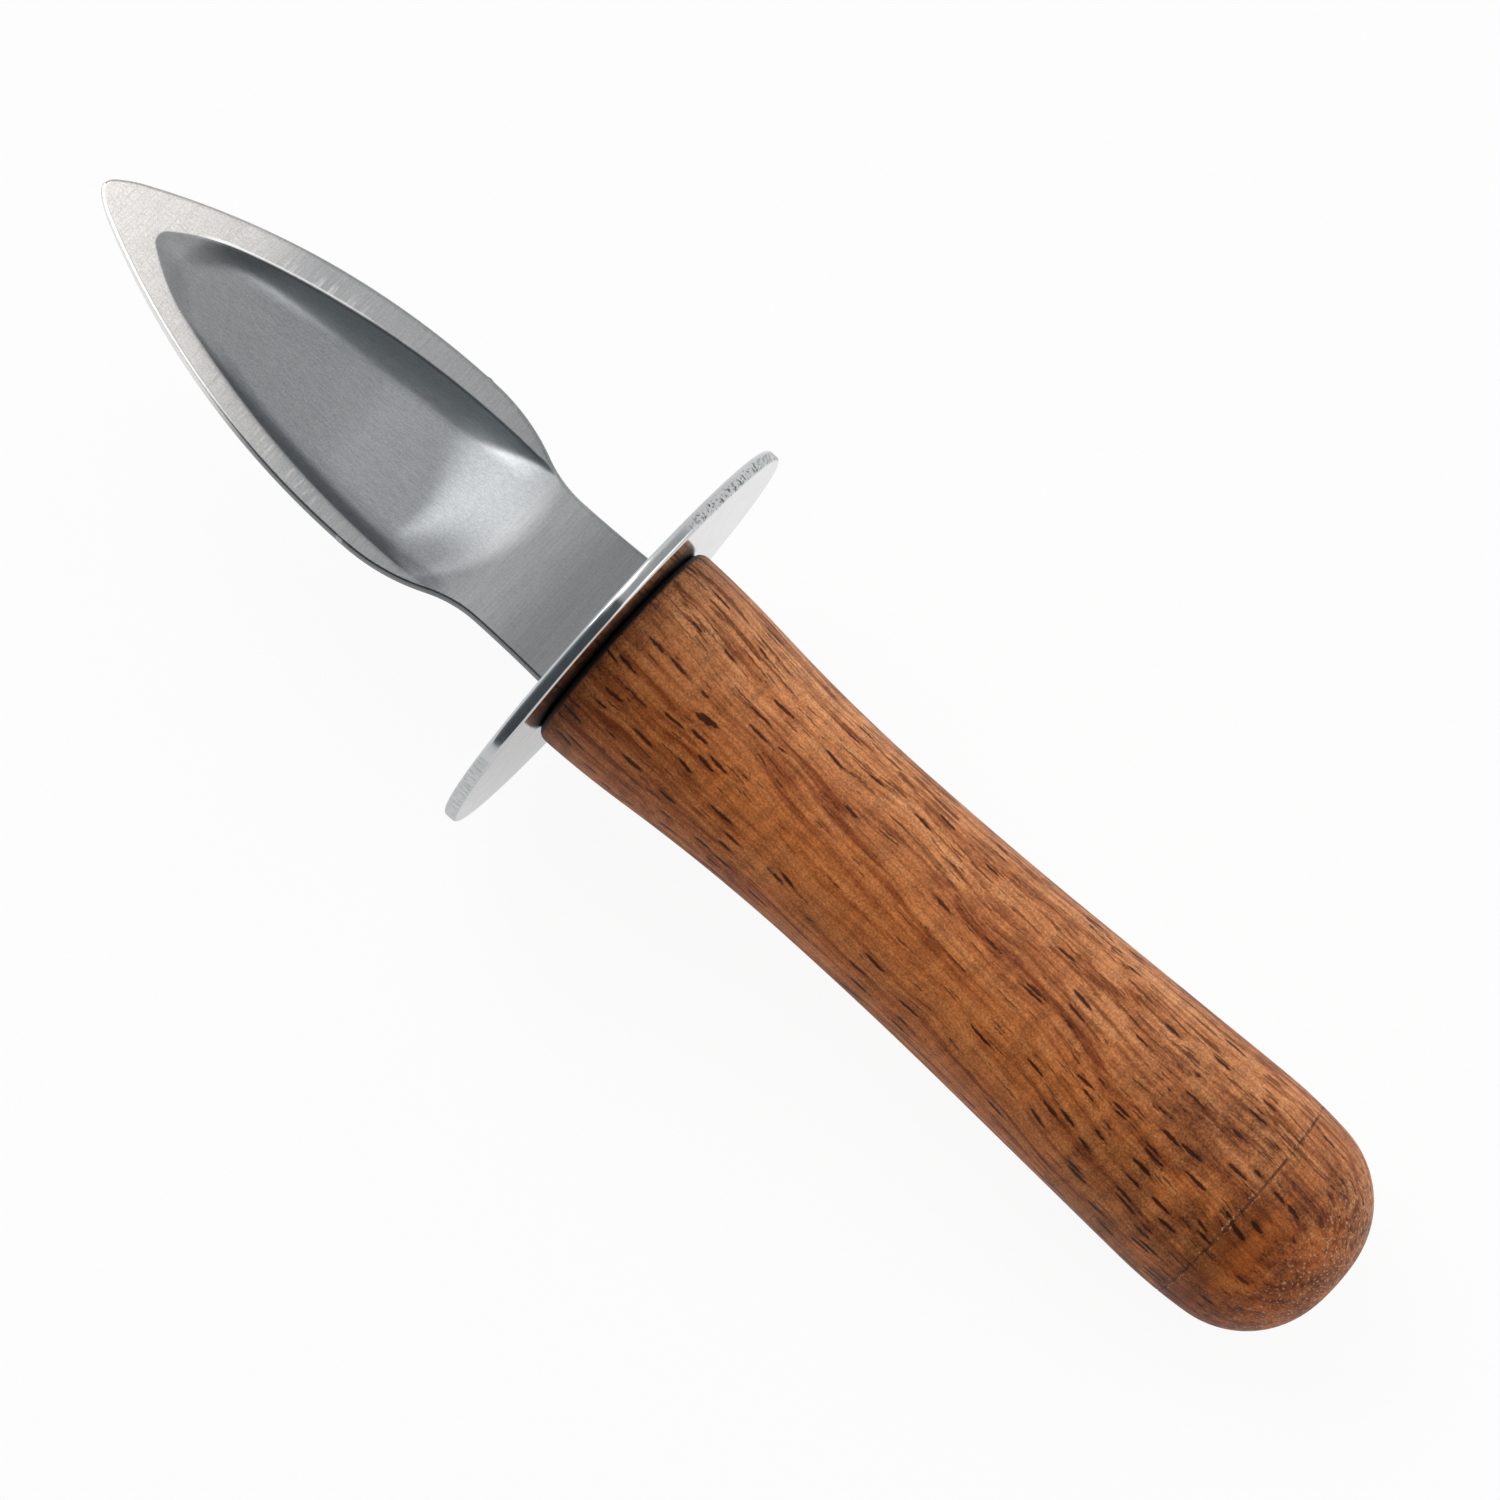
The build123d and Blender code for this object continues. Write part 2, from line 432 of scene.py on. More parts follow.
def honed_drop(x, y):
    """A narrow facet honed along the +Y edge, which fades out behind the point."""
    if y < 0:
        return 0.0
    inset = distance_to(outline_tree, x, y)
    return max(0.0, HONED_WIDTH - inset) * HONED_SLOPE * rise(x, *HONED_RUN)


def thinning(x):
    """The tip is ground thinner on the hollow side, with a slope that grows towards the point."""
    run = max(0.0, THIN_START - (TIP - x))
    return THIN_SLOPE * run * run / (2 * THIN_START)


print("ground off at the nose of the hollow:", round(thinning(NOSE), 2))

# %% Lay the grid on its stations and rows
MERGE_DISTANCE = 0.002
last_station = len(stations) - 1
tang_rows = len(FLOOR_SHARES) - 1
blade_shape = bmesh.new()
bmesh.ops.create_grid(blade_shape, x_segments=last_station, y_segments=2 * rows_each_side, size=1.0)
place_of = {}
for vert in blade_shape.verts:
    column = round((vert.co.x + 1) / 2 * last_station)
    row = round((vert.co.y + 1) / 2 * 2 * rows_each_side) - rows_each_side
    place_of[vert] = (last_station - column, row)
outer_faces = [
    face
    for face in blade_shape.faces
    if min(place_of[v][0] for v in face.verts) >= front_station
    and max(abs(place_of[v][1]) for v in face.verts) > tang_rows
]
for vert, (station, row) in place_of.items():
    x = stations[station]
    if station > front_station:
        y = tang_half(x) * row / tang_rows
        vert.co = Vector((x, y, TOP)) * MM
        continue
    middle, rows = row_places(x, 1 if row >= 0 else -1)
    y = middle + math.copysign(rows[abs(row)], row)
    drop = press_depth(x, y) + thinning(x) + edge_drop(x, y) + honed_drop(x, y)
    vert.co = Vector((x, y, TOP - drop)) * MM
bmesh.ops.delete(blade_shape, geom=outer_faces, context="FACES")
bmesh.ops.remove_doubles(blade_shape, verts=blade_shape.verts, dist=MERGE_DISTANCE * MM)
print("top of the sheet:", len(blade_shape.faces), "faces")

# %% [markdown]
# The lower side of the sheet is the same surface, one thickness further down. Its edge is eased the
# other way, and the thinned tip stays flat underneath.

# %% Give the sheet its thickness
top_faces = list(blade_shape.faces)
bmesh.ops.recalc_face_normals(blade_shape, faces=top_faces)
if sum(face.normal.z for face in top_faces) < 0:
    bmesh.ops.reverse_faces(blade_shape, faces=top_faces)
grown = bmesh.ops.extrude_face_region(blade_shape, geom=top_faces, use_keep_orig=True)
lower = [item for item in grown["geom"] if isinstance(item, bmesh.types.BMVert)]
for vert in lower:
    x, y = vert.co.x / MM, vert.co.y / MM
    in_front = x > GUARD_FRONT - 0.1
    lift = 2 * edge_drop(x, y) + honed_drop(x, y) + thinning(x) if in_front else 0.0
    vert.co.z += (lift - SHEET) * MM
bmesh.ops.recalc_face_normals(blade_shape, faces=blade_shape.faces)
blade = piece_from(blade_shape, "pressed_blade", "blade")

# %% [markdown]
# The blade's finish changes from place to place: ground bright at the tip, brushed inside the hollow.
# Light and shade are also painted into the steel: painted shade on the +Y side edge, the lower wall
# and the nose of the hollow, and painted light on the upper wall, the crease, the shoulder and the
# honed facet. Two attributes tell the material how far each point is from the crease and from the
# outline, so that the finish follows the shape.

# %% Measure each point of the blade for its finish
crease_mm = blade.data.attributes.new("crease_mm", "FLOAT", "POINT")
edge_mm = blade.data.attributes.new("edge_mm", "FLOAT", "POINT")
for k, vert in enumerate(blade.data.vertices):
    x, y = vert.co.x / MM, vert.co.y / MM
    crease_mm.data[k].value = inside_crease(x, y)
    edge_mm.data[k].value = distance_to(outline_tree, x, y)
print("points measured:", len(blade.data.vertices))

# %% [markdown]
# ## Guard
# The guard is a disc stamped from sheet. It needs a round outline and a slot, a flat face between them,
# one extrusion for the thickness and a bevel where the edge was eased. A narrow ring inside the bevel
# keeps the mirror-flat faces free of shading from the rounded rim.

# %% Stamp the disc
GUARD_RADIUS = guard_high.z / MM
GUARD_SEGMENTS = 288
SLOT_WIDTH = 9.3
SLOT_HEIGHT = 2.1
SLOT_MIDDLE = 0.3
GUARD_EASE = 0.38
EASE_SEGMENTS = 6
RING_WIDTH = 0.05
SQUARE_CORNER = 1.0
NEAR_RIM = 20.0
FLAT_NORMAL = 0.9999

disc = bmesh.new()
bmesh.ops.create_circle(disc, segments=GUARD_SEGMENTS, radius=GUARD_RADIUS * MM)
slot = bmesh.ops.create_grid(disc, x_segments=1, y_segments=1, size=0.5)
bmesh.ops.scale(disc, verts=slot["verts"], vec=(SLOT_HEIGHT * MM, SLOT_WIDTH * MM, 1))
slot_faces = list({face for vert in slot["verts"] for face in vert.link_faces})
bmesh.ops.delete(disc, geom=slot_faces, context="FACES_ONLY")
bmesh.ops.triangle_fill(disc, use_beauty=True, edges=disc.edges)
over_slot = [face for face in disc.faces if face.calc_center_median().length < SLOT_MIDDLE * MM]
print("disc faces:", len(disc.faces), "over the slot:", len(over_slot))
bmesh.ops.recalc_face_normals(disc, faces=disc.faces)
thick = bmesh.ops.extrude_face_region(disc, geom=list(disc.faces), use_keep_orig=True)
raised = [item for item in thick["geom"] if isinstance(item, bmesh.types.BMVert)]
bmesh.ops.translate(disc, verts=raised, vec=(0, 0, guard_high.x - guard_low.x))
quarter_turn = Matrix.Rotation(math.radians(90), 3, "Y")
bmesh.ops.rotate(disc, verts=disc.verts, cent=(0, 0, 0), matrix=quarter_turn)
bmesh.ops.translate(disc, verts=disc.verts, vec=(guard_low.x - min(v.co.x for v in disc.verts), 0, 0))
bmesh.ops.recalc_face_normals(disc, faces=disc.faces)
corner_edges = [
    edge
    for edge in disc.edges
    if edge.calc_face_angle(0) > SQUARE_CORNER
    and all(Vector(v.co.yz).length > NEAR_RIM * MM for v in edge.verts)
]
bmesh.ops.bevel(
    disc,
    geom=corner_edges,
    offset=GUARD_EASE * MM,
    segments=EASE_SEGMENTS,
    profile=0.5,
    affect="EDGES",
    material=-1,
)
flat_faces = [face for face in disc.faces if abs(face.normal.x) > FLAT_NORMAL]
bmesh.ops.inset_region(disc, faces=flat_faces, thickness=RING_WIDTH * MM, use_even_offset=True)
guard = piece_from(disc, "polished_guard", "guard")

# %% [markdown]
# ## Handle
# A lathe makes a handle by moving a gouge along a profile while the wood spins, and Blender's spin does
# the same. One vertex is swung round each arc's centre to draw the profile, and the profile is then
# spun once round the knife's axis.

# %% Draw the profile by swinging one vertex from arc to arc
HANDLE_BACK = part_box("handle")[0].x / MM
FRONT_RADIUS = 12.3
FRONT_ROUND = 1.2
STRETCHES = [(11.5, -120.0), (20.5, 211.0), (22.0, 509.0), (24.0, None), (8.8, -57.0)]
LATHE_STEPS = 224
ARC_STEP = 0.5
FEWEST_ARC_STEPS = 3
CONE_CUTS = 40


def swing(shape, end, heading, radius, turn):
    """Swing the profile's last vertex round an arc's centre. Radius above zero turns it outwards."""
    side = Vector((-heading.z, 0, heading.x))
    centre = end.co - side * radius * MM
    spun = bmesh.ops.spin(
        shape,
        geom=[end],
        cent=centre,
        axis=(0, 1, 0),
        angle=turn,
        steps=max(FEWEST_ARC_STEPS, math.ceil(abs(radius * turn) / ARC_STEP)),
        use_duplicate=False,
    )
    last = [item for item in spun["geom_last"] if isinstance(item, bmesh.types.BMVert)][0]
    return last, Quaternion((0, 1, 0), turn) @ heading


turned = bmesh.new()
axis_point = turned.verts.new(Vector((GUARD_BACK, 0, 0)) * MM)
front = turned.verts.new(Vector((GUARD_BACK, 0, FRONT_RADIUS - FRONT_ROUND)) * MM)
turned.edges.new((axis_point, front))
lean = math.asin(FRONT_ROUND / -STRETCHES[0][1])
end, heading = swing(turned, front, Vector((0, 0, 1)), -FRONT_ROUND, -math.pi / 2 - lean)
STRETCHES[0] = (STRETCHES[0][0] - FRONT_ROUND, STRETCHES[0][1])
for k, (run, radius) in enumerate(STRETCHES):
    if radius is None:
        nxt = turned.verts.new(end.co + heading * (run / -heading.x) * MM)
        line = turned.edges.new((end, nxt))
        bmesh.ops.subdivide_edges(turned, edges=[line], cuts=CONE_CUTS)
        end = min(turned.verts, key=lambda vert: vert.co.x)
        continue
    slope = heading.z + run / radius
    turn = math.asin(slope) - math.asin(heading.z)
    end, heading = swing(turned, end, heading, radius, turn)
    print("stretch", k, "ends at x", round(end.co.x / MM, 2), "radius", round(end.co.z / MM, 2))
butt_radius = (end.co.x / MM - HANDLE_BACK) / (1 + heading.z)
butt_turn = math.pi / 2 + math.asin(heading.z)
end, heading = swing(turned, end, heading, -butt_radius, -butt_turn)
butt_middle = turned.verts.new(Vector((end.co.x, 0, 0)))
turned.edges.new((end, butt_middle))
print("butt at x", round(end.co.x / MM, 2), "flat radius", round(end.co.z / MM, 2))

# %% [markdown]
# The line near the butt was scribed with a point held against the spinning wood. It is cut into the
# profile before the spin: three rings of the profile, the middle one pushed in.

# %% Scribe the line and spin the profile
SCRIBE_X = GUARD_BACK - 83.3
SCRIBE_HALF = 0.17
SCRIBE_DEPTH = 0.08
SAME_POINT = 0.001
for offset in (-SCRIBE_HALF, 0.0, SCRIBE_HALF):
    bmesh.ops.bisect_plane(
        turned,
        geom=list(turned.verts) + list(turned.edges),
        plane_co=Vector((SCRIBE_X + offset, 0, 0)) * MM,
        plane_no=(1, 0, 0),
        dist=SAME_POINT * MM,
    )
scribed = [v for v in turned.verts if abs(v.co.x / MM - SCRIBE_X) < SCRIBE_HALF / 2 and v.co.z > 0]
bmesh.ops.translate(turned, verts=scribed, vec=(0, 0, -SCRIBE_DEPTH * MM))
bmesh.ops.spin(
    turned,
    geom=list(turned.verts) + list(turned.edges),
    cent=(0, 0, 0),
    axis=(1, 0, 0),
    angle=math.tau,
    steps=LATHE_STEPS,
    use_merge=True,
    use_duplicate=False,
)
bmesh.ops.remove_doubles(turned, verts=turned.verts, dist=SAME_POINT * MM)
bmesh.ops.recalc_face_normals(turned, faces=turned.faces)
handle = piece_from(turned, "turned_handle", "handle")

# %% [markdown]
# ## A helper for materials
# Colours are written as they are seen on a screen, in sRGB, and turned to the linear values that
# Blender mixes with. One function adds a node, sets it up and joins it to the nodes before it. A Map
# Range node with a span is a soft edge: its value goes from 0 to 1 while its source crosses the span.
# Where another value is linked to its socket 4, To Max, the soft edge fades that value in.

# %% Colours and nodes
def tone(code):
    """Linear colour from an sRGB hex code."""
    parts = [int(code[k : k + 2], 16) / 255 for k in (1, 3, 5)]
    return [p / 12.92 if p <= 0.04045 else ((p + 0.055) / 1.055) ** 2.4 for p in parts] + [1.0]


def put(tree, kind, links=None, values=None, stops=None, span=None, **settings):
    """Add one node with its incoming links, fixed values, ramp stops or span, and settings."""
    node = tree.nodes.new("ShaderNode" + kind)
    for name, value in settings.items():
        setattr(node, name, value)
    for name, value in (values or {}).items():
        node.inputs[name].default_value = value
    if span:
        node.interpolation_type = "SMOOTHSTEP"
        for socket, value in zip(node.inputs[1:5], span):
            socket.default_value = value
    for name, source in (links or {}).items():
        tree.links.new(source.outputs[0] if hasattr(source, "outputs") else source, node.inputs[name])
    if stops:
        ramp = node.color_ramp
        while len(ramp.elements) < len(stops):
            ramp.elements.new(0.5)
        for element, (place, colour) in zip(ramp.elements, stops):
            element.position = place
            element.color = colour if isinstance(colour, list) else (colour, colour, colour, 1)
    return node


def bare_material(name):
    """A material with an empty node tree."""
    material = bpy.data.materials.new(name)
    material.use_nodes = True
    material.node_tree.nodes.clear()
    return material, material.node_tree


def new_material(name):
    """A bare material with the place on the knife in mm, as a vector and as x, y and z."""
    material, tree = bare_material(name)
    spot = put(tree, "TexCoord").outputs["Object"]
    mm = put(tree, "Mapping", {"Vector": spot}, {"Scale": (1 / MM, 1 / MM, 1 / MM)})
    return material, tree, mm, put(tree, "SeparateXYZ", {"Vector": mm}).outputs


print("check of the colour function, mid grey:", round(tone("#808080")[0], 3))

# %% [markdown]
# ## Satin stainless, ground at the tip
# The blade is stainless sheet. It left the press dull, its rim was brushed crosswise on a fine belt, and
# the point was ground bright last. That gives the eye a soft grey metal with fine lines, lengthwise in
# the hollow and crosswise on rim and neck, and a paler, warmer patch with crossed lines at the point.

# %% Where each finish lies on the blade
steel, tree, mm, place = new_material("stainless_satin_ground")
inside = put(tree, "Attribute", attribute_name="crease_mm").outputs["Fac"]
inset = put(tree, "Attribute", attribute_name="edge_mm").outputs["Fac"]
cloud = put(tree, "TexNoise", {"Vector": mm}, {"Scale": 0.16, "Detail": 3.0})
along, across = place["X"], place["Y"]
wander = put(tree, "Math", {0: cloud, 2: along}, {1: 14.0}, operation="MULTIPLY_ADD")
askew = put(tree, "Math", {0: across, 2: wander}, {1: 0.7}, operation="MULTIPLY_ADD")
ticks_place = put(tree, "Mapping", {"Vector": mm}, {"Scale": (2.6, 0.22, 0.22)})
ticks = put(tree, "TexNoise", {"Vector": ticks_place}, {"Scale": 1.0, "Detail": 2.0})
# Each patch is where all its soft edges overlap: what is measured, where it starts, where it is full.
patches = {}
for name, soft_edges in {
    "hollow": [(inside, -0.05, 0.15), (along, 12.0, 18.0)],
    "ground": [(inside, 0.05, -0.1), (askew, 45.0, 62.0)],
    "rim": [(inside, 0.0, -0.12), (along, 14.0, 24.0)],
    "ticks": [
        (inside, -0.1, -0.3), (inside, -2.0, -0.9),
        (askew, 38.0, 48.0), (askew, 66.0, 56.0), (ticks, 0.5, 0.68),
    ],
    "upper_wall": [(inside, 0.0, 0.25), (inside, 3.2, 1.6), (across, -1.0, -4.0), (along, 15.0, 24.0)],
    "lower_wall": [
        (inside, 0.0, 0.2), (inside, 2.4, 1.3),
        (across, 1.5, 4.0), (along, 14.0, 18.0), (along, 52.0, 44.0),
    ],
    "nose": [(inside, 0.0, 0.3), (along, 46.0, 57.0)],
    "nose_lower": [(inside, 0.0, 0.2), (inside, 2.4, 1.4), (across, 0.2, 1.6), (along, 52.0, 56.0)],
    "shoulder": [(along, 5.0, 12.5), (along, 17.0, 13.0)],
    "edge_side_painted_shade": [(inset, 0.16, 0.07), (across, 0.5, 2.0), (along, 46.0, 36.0)],
    "crease_painted_highlight": [
        (inside, -0.4, -0.2), (inside, 0.04, -0.05),
        (across, 0.0, -2.0), (wander, 40.0, 52.0), (along, 58.5, 56.0),
    ],
    "honed": [(inset, 0.33, 0.27), (across, 0.5, 2.0), (along, 40.0, 50.0)],
    "honed_painted_shade_line": [(inset, 0.46, 0.38), (inset, 0.26, 0.34), (across, 0.5, 2.0), (along, 38.0, 48.0)],
}.items():
    patch = None
    for source, start, full in soft_edges:
        links = {0: source, 4: patch} if patch else {0: source}
        patch = put(tree, "MapRange", links, span=(start, full))
    patches[name] = patch
print("patches on the blade:", list(patches))

# %% Lines of the brush and of the grinding belt
# Belt lines are near 0.05 mm apart. They are drawn 0.2 mm wide, the finest that still shows.
lengthwise = put(tree, "Mapping", {"Vector": mm}, {"Scale": (0.9, 5.0, 5.0)})
crosswise = put(tree, "Mapping", {"Vector": mm}, {"Scale": (4.2, 0.2, 0.2)})
long_lines = put(tree, "TexNoise", {"Vector": lengthwise}, {"Scale": 1.0, "Detail": 3.0})
cross_lines = put(tree, "TexNoise", {"Vector": crosswise}, {"Scale": 1.0, "Detail": 3.0})
satin = put(tree, "TexNoise", {"Vector": mm}, {"Scale": 6.0, "Detail": 2.0})
brushed = put(tree, "Mix", {0: patches["hollow"], 2: cross_lines, 3: long_lines})
crossed = put(tree, "Math", {0: cross_lines, 1: long_lines}, operation="MINIMUM")
lines = put(tree, "Mix", {0: patches["ground"], 2: brushed, 3: crossed})
grain = put(tree, "Mix", {2: lines, 3: satin}, {0: 0.55})
print("nodes up to the grain:", len(tree.nodes))

# %% Colour of the steel
# The neck's shade lies under all. Each later one covers the earlier ones where its patch is.
GRAIN_DARK = 0.34
GRAIN_BRIGHT = 0.66
shades = {
    "neck": ("#87898b", "#969899"),
    "hollow": ("#8a8d8f", "#a3a5a6"),
    "rim": ("#909293", "#a5a6a6"),
    "ticks": ("#a9aaaa", "#cdccca"),
    # Painted light: the upper wall of the hollow is paler steel, which lifts the dark band it reflects.
    "upper_wall": ("#bfc3c6", "#d6d9db"),
    # Painted shade: the lower wall of the hollow is darker steel, which deepens the dark band it
    # reflects.
    "lower_wall": ("#6f7376", "#888b8e"),
    # Painted shade: the nose of the hollow is darker steel, and its lower side darker still.
    "nose": ("#8e8f91", "#a2a3a4"),
    "nose_lower": ("#858788", "#98999a"),
    # Painted light: the neck is paler steel where the heel of the hollow rises into it.
    "shoulder": ("#9c9e9f", "#b3b4b4"),
    "ground": ("#a8a6a4", "#cfccc9"),
    # Painted highlight: a pale line along the upper crease, where the rounded crease would catch the
    # light.
    "crease_painted_highlight": ("#dddcda", "#e6e5e3"),
    # Painted shade: the side face of the +Y edge is dark steel behind the point.
    "edge_side_painted_shade": ("#4c4f52", "#6a6d70"),
    # Painted highlight: the honed facet and the side face near the point are near-white steel.
    "honed": ("#f2f0ed", "#fbfaf7"),
    # Painted shade: a grey line just inside the honed facet.
    "honed_painted_shade_line": ("#a19f9d", "#afadab"),
}
sheet = None
for name, (dark, bright) in shades.items():
    stops = [(GRAIN_DARK, tone(dark)), (GRAIN_BRIGHT, tone(bright))]
    shade = put(tree, "ValToRGB", {0: grain}, stops=stops)
    if sheet:
        shade = put(tree, "Mix", {0: patches[name], 6: sheet, 7: shade}, data_type="RGBA").outputs[2]
    sheet = shade
print("shades of the steel:", len(shades))

# %% Gloss and relief of the steel
gloss = put(tree, "MapRange", {0: patches["hollow"]}, span=(0.0, 1.0, 0.30, 0.38))
gloss = put(tree, "Math", {0: grain, 2: gloss}, {1: 0.06}, operation="MULTIPLY_ADD")
relief = put(tree, "Bump", {"Height": grain}, {"Strength": 0.25, "Distance": 0.00001})
metal = put(
    tree,
    "BsdfPrincipled",
    {"Base Color": sheet, "Roughness": gloss, "Normal": relief},
    {"Metallic": 1.0},
)
put(tree, "OutputMaterial", {"Surface": metal})
blade.data.materials.append(steel)
print("nodes in the blade's steel:", len(tree.nodes))

# %% [markdown]
# ## Polished stainless with a sheared rim
# The disc was blanked from bright sheet, so its faces are nearly mirrors. The punch tore its rim a
# little before it was buffed: small pits are left on one side and fine marks along the thickness at
# the far end, and between them the rim is bright.

# %% Where the rim was torn
bright, tree, mm, place = new_material("stainless_polished_blanked")
flat_place = put(tree, "Mapping", {"Vector": mm}, {"Scale": (0, 1, 1)})
radius = put(tree, "VectorMath", {0: flat_place}, operation="LENGTH").outputs["Value"]
on_edge = put(tree, "MapRange", {0: radius}, span=(GUARD_RADIUS - 0.3, GUARD_RADIUS - 0.1))
pitted = put(tree, "MapRange", {0: place["Y"], 4: on_edge}, span=(-5.0, -10.0))
pitted = put(tree, "MapRange", {0: place["X"], 4: pitted}, span=(0.5, 0.1))
under = put(tree, "MapRange", {0: place["Z"], 4: on_edge}, span=(1.0, -5.0))
far_end = put(tree, "MapRange", {0: place["Y"], 4: on_edge}, span=(20.6, 21.4))
torn = put(tree, "Math", {0: pitted, 1: under}, operation="MAXIMUM")
torn = put(tree, "Math", {0: torn, 1: far_end}, operation="MAXIMUM")
marked = put(tree, "Math", {0: far_end, 1: under}, operation="MAXIMUM")
# Shear marks are near 0.1 mm apart. They are drawn 0.2 mm wide, so that they show.
marks_place = put(tree, "Mapping", {"Vector": mm}, {"Scale": (0.9, 4.5, 4.5)})
marks = put(tree, "TexNoise", {"Vector": marks_place}, {"Scale": 1.0, "Detail": 3.0})
mark = put(tree, "MapRange", {0: marks, 4: marked}, span=(0.45, 0.66))
mark = put(tree, "MapRange", {0: mark}, span=(0.0, 1.0, 0.0, 0.35))
pits = put(tree, "TexNoise", {"Vector": mm}, {"Scale": 2.8, "Detail": 3.0, "Roughness": 0.7})
pit = put(tree, "MapRange", {0: pits, 4: pitted}, span=(0.51, 0.6))
scar = put(tree, "Math", {0: pit, 1: mark}, operation="MAXIMUM")
print("nodes for the torn rim:", len(tree.nodes))

# %% Polished stainless
# Painted light: the back face of the disc is paler steel towards -Y, above the handle.
back_face_painted_light = put(tree, "MapRange", {0: place["Y"]}, span=(2.0, -8.0))
back_face_painted_light = put(tree, "MapRange", {0: place["X"], 4: back_face_painted_light}, span=(-0.6, -0.72))
colour = put(tree, "Mix", {0: back_face_painted_light}, {6: tone("#d0d2d3"), 7: tone("#e2e3e4")}, data_type="RGBA")
colour = put(tree, "Mix", {0: scar, 6: colour.outputs[2]}, {7: tone("#606366")}, data_type="RGBA")
haze = put(tree, "TexNoise", {"Vector": mm}, {"Scale": 0.5, "Detail": 4.0})
gloss = put(tree, "MapRange", {0: haze}, span=(0.3, 0.7, 0.10, 0.16))
gloss = put(tree, "Math", {0: torn, 2: gloss}, {1: 0.25}, operation="MULTIPLY_ADD")
relief = put(tree, "Bump", {"Height": scar}, {"Strength": 0.4, "Distance": 0.00003}, invert=True)
metal = put(
    tree,
    "BsdfPrincipled",
    {"Base Color": colour.outputs[2], "Roughness": gloss, "Normal": relief},
    {"Metallic": 1.0},
)
put(tree, "OutputMaterial", {"Surface": metal})
guard.data.materials.append(bright)
print("nodes in the guard's steel:", len(tree.nodes))

# %% [markdown]
# ## Turned, open pored hardwood
# Wood is a solid pattern, so it is drawn in space and the turned surface cuts through it, as a lathe
# does. Growth rings lie nearly flat across the handle: they show as broad figures on top and as close
# lines on the sides. Pores are tubes along the fibre. Cut lengthwise they are dark dashes, 2 to 4 mm
# long, and at the butt they are dots. The fibre leans a few degrees from the handle's axis.

# %% The fibre's own directions
wood, tree, mm, place = new_material("hardwood_turned_oiled")
leaning = put(tree, "Mapping", {"Vector": mm}, {"Rotation": (0.0, math.radians(2.2), math.radians(5))})
sway_place = put(tree, "Mapping", {"Vector": leaning}, {"Scale": (0.06, 0.12, 0.12)})
sway = put(tree, "TexNoise", {"Vector": sway_place}, {"Scale": 1.0, "Detail": 2.0})
fibre = put(
    tree,
    "VectorMath",
    {0: sway.outputs["Color"], 2: leaning},
    {1: (0.0, 3.0, 3.0)},
    operation="MULTIPLY_ADD",
)
shake = put(tree, "TexNoise", {"Vector": mm}, {"Scale": 1.6, "Detail": 2.0})
ragged = put(
    tree,
    "VectorMath",
    {0: shake.outputs["Color"], 2: fibre},
    {1: (1.2, 0.28, 0.28)},
    operation="MULTIPLY_ADD",
)
print("nodes for the fibre's directions:", len(tree.nodes))

# %% Patterns along the fibre
# Each has its length and its width on the wood in mm.
patterns = {}
for name, source, kind, along, across, values in [
    ("uneven", fibre, "TexNoise", 60.0, 7.0, {"Detail": 2.0}),
    ("streak", ragged, "TexNoise", 16.0, 0.7, {"Detail": 6.0, "Roughness": 0.66}),
    ("figure", fibre, "TexNoise", 34.0, 4.5, {"Detail": 2.0}),
    ("line", ragged, "TexNoise", 13.0, 0.5, {"Detail": 1.0}),
    ("crowd", fibre, "TexNoise", 20.0, 5.0, {"Detail": 1.0}),
    ("pore", ragged, "TexVoronoi", 6.0, 0.85, {}),
    ("hair_pore", ragged, "TexVoronoi", 7.0, 0.42, {}),
    ("ripple_painted_sheen", fibre, "TexNoise", 1.1, 6.0, {"Detail": 1.0}),
]:
    vector = put(tree, "Mapping", {"Vector": source}, {"Scale": (1 / along, 1 / across, 1 / across)})
    patterns[name] = put(tree, kind, {"Vector": vector}, {"Scale": 1.0, **values})
print("patterns along the fibre:", list(patterns))

# %% Growth rings and streaks
PITH = (0.0, -6.0, 70.0)
RING_SPACING = 1.9
from_pith = put(tree, "VectorMath", {0: fibre}, {1: (0.0, 1.0, 1.0), 2: PITH}, operation="MULTIPLY_ADD")
ring_radius = put(tree, "VectorMath", {0: from_pith}, operation="LENGTH").outputs["Value"]
ring_radius = put(
    tree, "Math", {0: patterns["uneven"], 2: ring_radius}, {1: 3.0}, operation="MULTIPLY_ADD"
)
ring = put(tree, "Math", {0: ring_radius}, {1: RING_SPACING}, operation="DIVIDE")
ring = put(tree, "Math", {0: ring}, operation="FRACT")
late = put(
    tree, "ValToRGB", {0: ring}, stops=[(0.0, 0.4), (0.06, 0.1), (0.55, 0.2), (0.9, 0.8), (1.0, 0.4)]
)
depth = put(tree, "Mix", {2: patterns["streak"], 3: late}, {0: 0.16})
depth = put(tree, "Mix", {2: depth, 3: patterns["figure"]}, {0: 0.25})
timber = put(
    tree,
    "ValToRGB",
    {0: depth},
    stops=[(0.36, tone("#d79665")), (0.47, tone("#c47f4e")), (0.60, tone("#8a4824"))],
)
# Painted shade: the +Y side, away from the lamps, is made darker and redder.
plus_y_side_painted_shade = put(tree, "MapRange", {0: place["Y"]}, span=(-7.0, 7.0))
timber = put(
    tree, "Mix", {0: plus_y_side_painted_shade, 6: timber}, {7: tone("#f7debf")}, data_type="RGBA", blend_type="MULTIPLY"
)
print("growth rings:", RING_SPACING, "mm apart, round", PITH)

